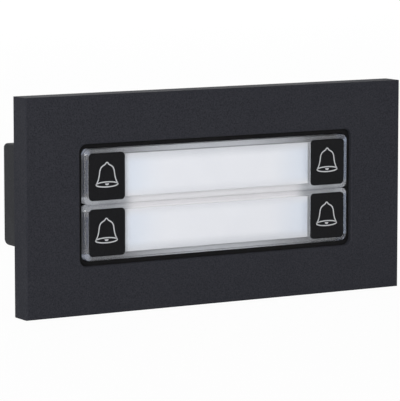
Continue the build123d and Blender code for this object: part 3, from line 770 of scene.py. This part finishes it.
def half_of(node_name, piece_name, side):
    """A copy of one CAD node's part above or below the middle plane, closed where it was cut."""
    mesh = bmesh.new()
    mesh.from_mesh(frame["nodes"][node_name].data)
    bmesh.ops.remove_doubles(mesh, verts=mesh.verts, dist=WELD)
    everything = mesh.verts[:] + mesh.edges[:] + mesh.faces[:]
    bmesh.ops.bisect_plane(mesh, geom=everything, dist=WELD, plane_co=(0.0, 0.0, 0.0),
                           plane_no=(0.0, 0.0, side), clear_inner=True)
    cut = [edge for edge in mesh.edges if edge.is_boundary]
    if cut:
        bmesh.ops.edgenet_fill(mesh, edges=cut)
    return object_from(piece_name, mesh, FINISHES[slot_of[node_name]])


for node_name in ("key_mat", "contact_pills"):
    for row, side in (("upper", 1.0), ("lower", -1.0)):
        piece = half_of(node_name, f"{row}_{node_name}", side)
        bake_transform(piece)
        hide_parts(node_name)
        print(piece.name, len(piece.data.polygons), "faces")

# %% [markdown]
# ## Rear-box screws
# Two pan-head screws hold the rear box. The CAD model has them as plain slotted pins, because a thread and
# a cross recess are too fine for it. A real head is pressed and its thread is rolled, so both are made here
# as one turned skin: rings of points round the axis, whose distance from the axis follows the thread and
# whose height follows the crowned head with the recess sunk into it. The new screws take the place of the
# CAD ones.

# %% Screw sizes, in millimetres; the shares are of the head's radius and height, and of the shank's radius
HEAD_H = 1.3
HEAD_CROWN = 0.4
HEAD_SHOULDER = 0.86
HEAD_SIDE = ((0.94, 0.72), (1.0, 0.5), (1.0, 0.0))
RECESS_W = 0.8
RECESS_REACH = 1.45
RECESS_DEPTH = 0.8
RECESS_SLOPE = 0.12
RECESS_FLOOR_RISE = 1.6
SHANK_R = 1.2
THREAD_PITCH = 0.8
THREAD_DEPTH = 0.25
TIP_TAPER = 0.6
TIP_SHARE = 0.55
TIP_SWELL = 0.45
TURN_STEPS = 64
HEAD_RINGS = 24
RINGS_PER_PITCH = 8
TURNS = [2 * math.pi * k / TURN_STEPS for k in range(TURN_STEPS)]


# %% Screw builders
def recess_at(across, along):
    """Depth of the cross recess at a point of the head: the deeper of its two arms."""
    depth = 0.0
    for off, reach in ((abs(across), abs(along)), (abs(along), abs(across))):
        wall = min(1.0, max(0.0, (RECESS_W / 2 + RECESS_SLOPE / 2 - off) / RECESS_SLOPE))
        inward = max(0.0, 1.0 - reach / RECESS_REACH)
        depth = max(depth, RECESS_DEPTH * wall * min(1.0, RECESS_FLOOR_RISE * inward))
    return depth


def shank_at(depth, turn, length):
    """Radius of the threaded shank at a depth below the seat and an angle."""
    taper = min(1.0, TIP_SHARE + TIP_SWELL * (length - depth) / TIP_TAPER)
    groove = abs(2 * ((depth / THREAD_PITCH + turn / (2 * math.pi)) % 1.0) - 1)
    return taper * (SHANK_R - THREAD_DEPTH * groove)


def screw_profile(head_r, length):
    """Rings from the head's middle to the tip: each gives radius and height above the seat at an angle."""
    rings = []
    for step in range(1, HEAD_RINGS + 1):
        radius = head_r * HEAD_SHOULDER * step / HEAD_RINGS
        crown = HEAD_H - HEAD_CROWN * (radius / head_r) ** 2
        rings.append([(radius, crown - recess_at(radius * math.cos(turn), radius * math.sin(turn)))
                      for turn in TURNS])
    for radius_share, height_share in HEAD_SIDE:
        rings.append([(radius_share * head_r, height_share * HEAD_H)] * TURN_STEPS)
    count = round(length / THREAD_PITCH * RINGS_PER_PITCH)
    for step in range(count + 1):
        depth = length * step / count
        rings.append([(shank_at(depth, turn, length), -depth) for turn in TURNS])
    return rings


def add_screw(mesh, x, seat_y, rings):
    """A closed skin over the rings, with its axis along Y at the given place."""
    ends = [mesh.verts.new((x * MM, (seat_y + height) * MM, 0.0))
            for height in (HEAD_H - RECESS_DEPTH, rings[-1][0][1])]
    rows = [[mesh.verts.new(((x + radius * math.cos(turn)) * MM, (seat_y + height) * MM,
                             radius * math.sin(turn) * MM))
             for (radius, height), turn in zip(ring, TURNS)] for ring in rings]
    for here, there in zip(rows, rows[1:]):
        for k in range(TURN_STEPS):
            mesh.faces.new((here[k], there[k], there[k - 1], here[k - 1]))
    for k in range(TURN_STEPS):
        mesh.faces.new((ends[0], rows[0][k], rows[0][k - 1]))
        mesh.faces.new((ends[1], rows[-1][k - 1], rows[-1][k]))


# %% Turn the two screws, with their outside taken from the CAD node
SMOOTH_LIMIT = math.radians(38)

low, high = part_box("rear_box_screws")
screw_head_r = high.z / MM
screw_seat = high.y / MM - HEAD_H
screw_rings = screw_profile(screw_head_r, screw_seat - low.y / MM)
screw_mesh = bmesh.new()
for side in (-1, 1):
    add_screw(screw_mesh, side * (high.x / MM - screw_head_r), screw_seat, screw_rings)
for face in screw_mesh.faces:
    face.smooth = True
screws = object_from("rear_box_pan_screws", screw_mesh, FINISHES["screw_steel"])
screws.data.set_sharp_from_angle(angle=SMOOTH_LIMIT)
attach(screws, "module")
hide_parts("rear_box_screws")
print(screws.name, len(screws.data.polygons), "faces, head", round(2 * screw_head_r, 2), "mm across")

# %% [markdown]
# ## Threads for the panel screws
# The plate has four blind holes in its back for M3 screws. A tapped hole shows bright turns of thread where
# the tap has cut through the coat. A bump in the material would vanish at the rim of the hole, so each
# thread is a three-sided strip wound up the wall, with its foot just inside the metal so that nothing hangs
# free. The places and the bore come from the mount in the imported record.

# %% Wind the threads, sizes in millimetres
panel_holes = next(mount["dims"] for mount in frame["record"]["mounts"] if mount["name"] == "panel_screws")
hole_x, hole_z = panel_holes["spacing_x_mm"] / 2, panel_holes["spacing_y_mm"] / 2
COIL_PITCH = 0.5
COIL_FROM, COIL_TO = -0.45, -4.6
COIL_BITE = 0.03
COIL_RISE = 0.2
COIL_FOOT = panel_holes["hole_r_mm"] + COIL_BITE
COIL_CREST = panel_holes["hole_r_mm"] - COIL_RISE
COIL_HALF = 0.2
COIL_STEPS = 24


def add_coil(mesh, x, z):
    """One wound strip with a triangular section, closed at both ends."""
    count = round((COIL_FROM - COIL_TO) / COIL_PITCH * COIL_STEPS)
    rows = []
    for step in range(count + 1):
        turn = 2 * math.pi * step / COIL_STEPS
        y = COIL_FROM - COIL_PITCH * step / COIL_STEPS
        rows.append([mesh.verts.new(((x + r * math.cos(turn)) * MM, (y + rise) * MM,
                                     (z + r * math.sin(turn)) * MM))
                     for r, rise in ((COIL_FOOT, COIL_HALF), (COIL_CREST, 0.0), (COIL_FOOT, -COIL_HALF))])
    for here, there in zip(rows, rows[1:]):
        for k in range(3):
            mesh.faces.new((here[k], there[k], there[k - 1], here[k - 1]))
    mesh.faces.new(rows[0])
    mesh.faces.new(rows[-1][::-1])


coil_mesh = bmesh.new()
for x in (-hole_x, hole_x):
    for z in (-hole_z, hole_z):
        add_coil(coil_mesh, x, z)
coils = object_from("panel_hole_threads", coil_mesh, FINISHES["screw_steel"])
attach(coils, "module")
print(coils.name, len(coils.data.polygons), "faces")

# %% [markdown]
# ## Floor, world and lamps
# The module stands on its lower edge on a white sweep. For the camera, and for mirror and glass rays, the
# world is plain white. For everything else it is a soft grey dome, and three large lamps give the slight
# fall of light from the left that the photograph shows. The floor mixes its own light with white, so it
# stays pale and still keeps a faint shadow.

# %% World
WHITE = (1.0, 1.0, 1.0, 1.0)
DOME_LIGHT = 0.42


def seen_rays(tree):
    """1 for rays from the camera, a mirror or glass, and 0 for all others."""
    rays = place(tree, "ShaderNodeLightPath").outputs
    mirrored = combine(tree, "MAXIMUM", rays["Is Camera Ray"], rays["Is Glossy Ray"])
    return combine(tree, "MAXIMUM", mirrored, rays["Is Transmission Ray"])


world = bpy.data.worlds.new("studio")
bpy.context.scene.world = world
world.use_nodes = True
sky = world.node_tree
sky.nodes.clear()
sky_light = place(sky, "ShaderNodeBackground", {"Color": WHITE})
sky_output = place(sky, "ShaderNodeOutputWorld")
join(sky, ramp(sky, seen_rays(sky), low=DOME_LIGHT), sky_light.inputs["Strength"])
join(sky, sky_light.outputs["Background"], sky_output.inputs["Surface"])
print("dome", DOME_LIGHT)

# %% Floor
FLOOR_HALF = 6.0
FLOOR_GAP = 0.02
FLOOR_WHITE = 0.96

floor_paint, floor_tree, floor_shader, floor_output = blank_material("white_sweep")
floor_touch = use_group(floor_tree, touch_group, Scale=3.0)
join(floor_tree, mix_colours(floor_tree, floor_touch.outputs["Mask"], (0.93, 0.93, 0.93), (0.95, 0.95, 0.95)),
     floor_shader.inputs["Base Color"])
set_inputs(floor_shader, {"Roughness": 0.9, "Specular IOR Level": 0.1})
floor_glow = place(floor_tree, "ShaderNodeEmission", {"Color": WHITE, "Strength": 1.0})
floor_mix = place(floor_tree, "ShaderNodeMixShader")
join(floor_tree, ramp(floor_tree, seen_rays(floor_tree), high=FLOOR_WHITE), floor_mix.inputs["Fac"])
join(floor_tree, floor_shader.outputs["BSDF"], floor_mix.inputs[1])
join(floor_tree, floor_glow.outputs["Emission"], floor_mix.inputs[2])
join(floor_tree, floor_mix.outputs["Shader"], floor_output.inputs["Surface"])
floor_mesh = bmesh.new()
floor_z = cad_box[0].z - FLOOR_GAP * MM
floor_mesh.faces.new([floor_mesh.verts.new((x * FLOOR_HALF, y * FLOOR_HALF, floor_z))
                      for x, y in ((-1, -1), (1, -1), (1, 1), (-1, 1))])
floor = object_from("floor", floor_mesh, floor_paint)
print("floor at", round(floor_z / MM, 2), "mm")


# %% Lamps
def soft_lamp(name, at, size, watts):
    """A square lamp that faces the module."""
    data = bpy.data.lights.new(name, "AREA")
    data.size = size
    data.energy = watts
    lamp = bpy.data.objects.new(name, data)
    bpy.context.scene.collection.objects.link(lamp)
    facing = (-Vector(at)).to_track_quat("-Z", "Y").to_matrix().to_4x4()
    lamp.matrix_world = Matrix.Translation(at) @ facing


soft_lamp("key_lamp", (-0.85, -0.64, 0.21), size=0.6, watts=9.0)
soft_lamp("fill_lamp", (0.1, -1.95, 0.35), size=1.2, watts=5.0)
soft_lamp("back_lamp", (0.6, 1.6, 0.5), size=0.9, watts=8.0)
bpy.context.scene.view_settings.view_transform = "Standard"
print("lamps", len(bpy.data.lights))
